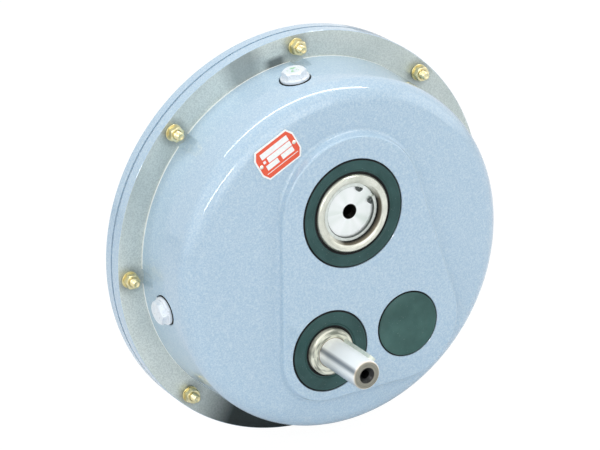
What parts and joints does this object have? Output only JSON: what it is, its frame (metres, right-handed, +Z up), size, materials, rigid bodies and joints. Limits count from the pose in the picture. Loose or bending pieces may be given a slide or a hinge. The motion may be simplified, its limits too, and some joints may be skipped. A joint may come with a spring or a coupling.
{
  "type": "shaft mounted gear reducer",
  "caption": "Parallel-shaft helical gear reducer in a round two-part cast casing, with a hollow output shaft and a keyed input shaft below it.",
  "frame": {"origin": "on the axis of the hollow output shaft, in the joint plane of the two casing halves", "axes": "+Y along the output bore towards the open rear end, so the input shaft points to -Y; +Z up, away from the input shaft; +X to the right seen from the input side"},
  "size_m": [0.3938, 0.2355, 0.3938],
  "materials": {
    "casing_paint": "pale blue-grey enamel over castings, machined edges bare",
    "gasket": "dark fibre gasket",
    "yellow_zinc": "yellow-passivated zinc",
    "white_zinc": "clear-passivated zinc",
    "seal_rubber": "dark green-grey nitrile, slight sheen",
    "black_rubber": "black rubber",
    "plate": "red printed plate with blank white fields",
    "rivet": "plain aluminium",
    "machined_steel": "turned steel, lightly oiled",
    "gear_steel": "ground case-hardened steel",
    "bearing_steel": "polished bearing steel",
    "cage_brass": "machined brass"
  },
  "bodies": {
    "casing": {"front_casing": "casing_paint", "rear_casing": "casing_paint", "casing_gasket": "gasket", "flange_bolts": "yellow_zinc", "flange_nuts": "yellow_zinc", "flange_washers": "yellow_zinc", "dowel_pins": "bearing_steel", "filler_plug": "white_zinc", "level_plug": "white_zinc", "drain_plug": "white_zinc", "plug_sealing_rings": "black_rubber", "nameplate": "plate", "nameplate_rivets": "rivet", "output_seal_front": "seal_rubber", "output_seal_rear": "seal_rubber", "input_seal": "seal_rubber", "intermediate_cap": "seal_rubber", "output_front_outer_ring": "bearing_steel", "output_rear_outer_ring": "bearing_steel", "input_front_outer_ring": "bearing_steel", "input_rear_outer_ring": "bearing_steel", "intermediate_front_outer_ring": "bearing_steel", "intermediate_rear_outer_ring": "bearing_steel"},
    "output_shaft": {"hollow_output_shaft": "machined_steel", "output_wheel": "gear_steel", "output_wheel_key": "machined_steel", "output_spacer": "machined_steel", "retaining_disc": "machined_steel", "bore_circlip": "machined_steel", "output_front_inner_ring": "bearing_steel", "output_rear_inner_ring": "bearing_steel"},
    "intermediate_shaft": {"intermediate_shaft": "gear_steel", "intermediate_wheel": "gear_steel", "intermediate_wheel_key": "machined_steel", "intermediate_spacer": "machined_steel", "intermediate_front_inner_ring": "bearing_steel", "intermediate_rear_inner_ring": "bearing_steel"},
    "input_shaft": {"input_shaft": "machined_steel", "input_shaft_key": "machined_steel", "input_front_inner_ring": "bearing_steel", "input_rear_inner_ring": "bearing_steel"},
    "output_front_rollers": {"output_front_cage": "cage_brass", "output_front_balls": "bearing_steel"},
    "output_rear_rollers": {"output_rear_cage": "cage_brass", "output_rear_balls": "bearing_steel"},
    "intermediate_front_rollers": {"intermediate_front_cage": "cage_brass", "intermediate_front_balls": "bearing_steel"},
    "intermediate_rear_rollers": {"intermediate_rear_cage": "cage_brass", "intermediate_rear_balls": "bearing_steel"},
    "input_front_rollers": {"input_front_cage": "cage_brass", "input_front_balls": "bearing_steel"},
    "input_rear_rollers": {"input_rear_cage": "cage_brass", "input_rear_balls": "bearing_steel"}
  },
  "joints": [
    {"name": "output_spin", "type": "hinge", "parent": "casing", "child": "output_shaft", "pos_m": [0, 0, 0], "axis": [0, -1, 0], "continuous": true},
    {"name": "intermediate_spin", "type": "hinge", "parent": "casing", "child": "intermediate_shaft", "pos_m": [0.05423, 0, -0.12472], "axis": [0, -1, 0], "continuous": true},
    {"name": "input_spin", "type": "hinge", "parent": "casing", "child": "input_shaft", "pos_m": [-0.03001, 0, -0.12987], "axis": [0, -1, 0], "continuous": true},
    {"name": "output_front_cage_spin", "type": "hinge", "parent": "casing", "child": "output_front_rollers", "pos_m": [0, 0, 0], "axis": [0, -1, 0], "continuous": true},
    {"name": "output_rear_cage_spin", "type": "hinge", "parent": "casing", "child": "output_rear_rollers", "pos_m": [0, 0, 0], "axis": [0, -1, 0], "continuous": true},
    {"name": "intermediate_front_cage_spin", "type": "hinge", "parent": "casing", "child": "intermediate_front_rollers", "pos_m": [0.05423, 0, -0.12472], "axis": [0, -1, 0], "continuous": true},
    {"name": "intermediate_rear_cage_spin", "type": "hinge", "parent": "casing", "child": "intermediate_rear_rollers", "pos_m": [0.05423, 0, -0.12472], "axis": [0, -1, 0], "continuous": true},
    {"name": "input_front_cage_spin", "type": "hinge", "parent": "casing", "child": "input_front_rollers", "pos_m": [-0.03001, 0, -0.12987], "axis": [0, -1, 0], "continuous": true},
    {"name": "input_rear_cage_spin", "type": "hinge", "parent": "casing", "child": "input_rear_rollers", "pos_m": [-0.03001, 0, -0.12987], "axis": [0, -1, 0], "continuous": true}
  ],
  "couplings": [
    {"joint": "intermediate_spin", "follows": "output_spin", "ratio": -3.381},
    {"joint": "input_spin", "follows": "output_spin", "ratio": 9.787},
    {"joint": "output_front_cage_spin", "follows": "output_spin", "ratio": 0.43684},
    {"joint": "output_rear_cage_spin", "follows": "output_spin", "ratio": 0.43684},
    {"joint": "intermediate_front_cage_spin", "follows": "output_spin", "ratio": -1.2728},
    {"joint": "intermediate_rear_cage_spin", "follows": "output_spin", "ratio": -1.2728},
    {"joint": "input_front_cage_spin", "follows": "output_spin", "ratio": 3.9901},
    {"joint": "input_rear_cage_spin", "follows": "output_spin", "ratio": 3.8782}
  ]
}
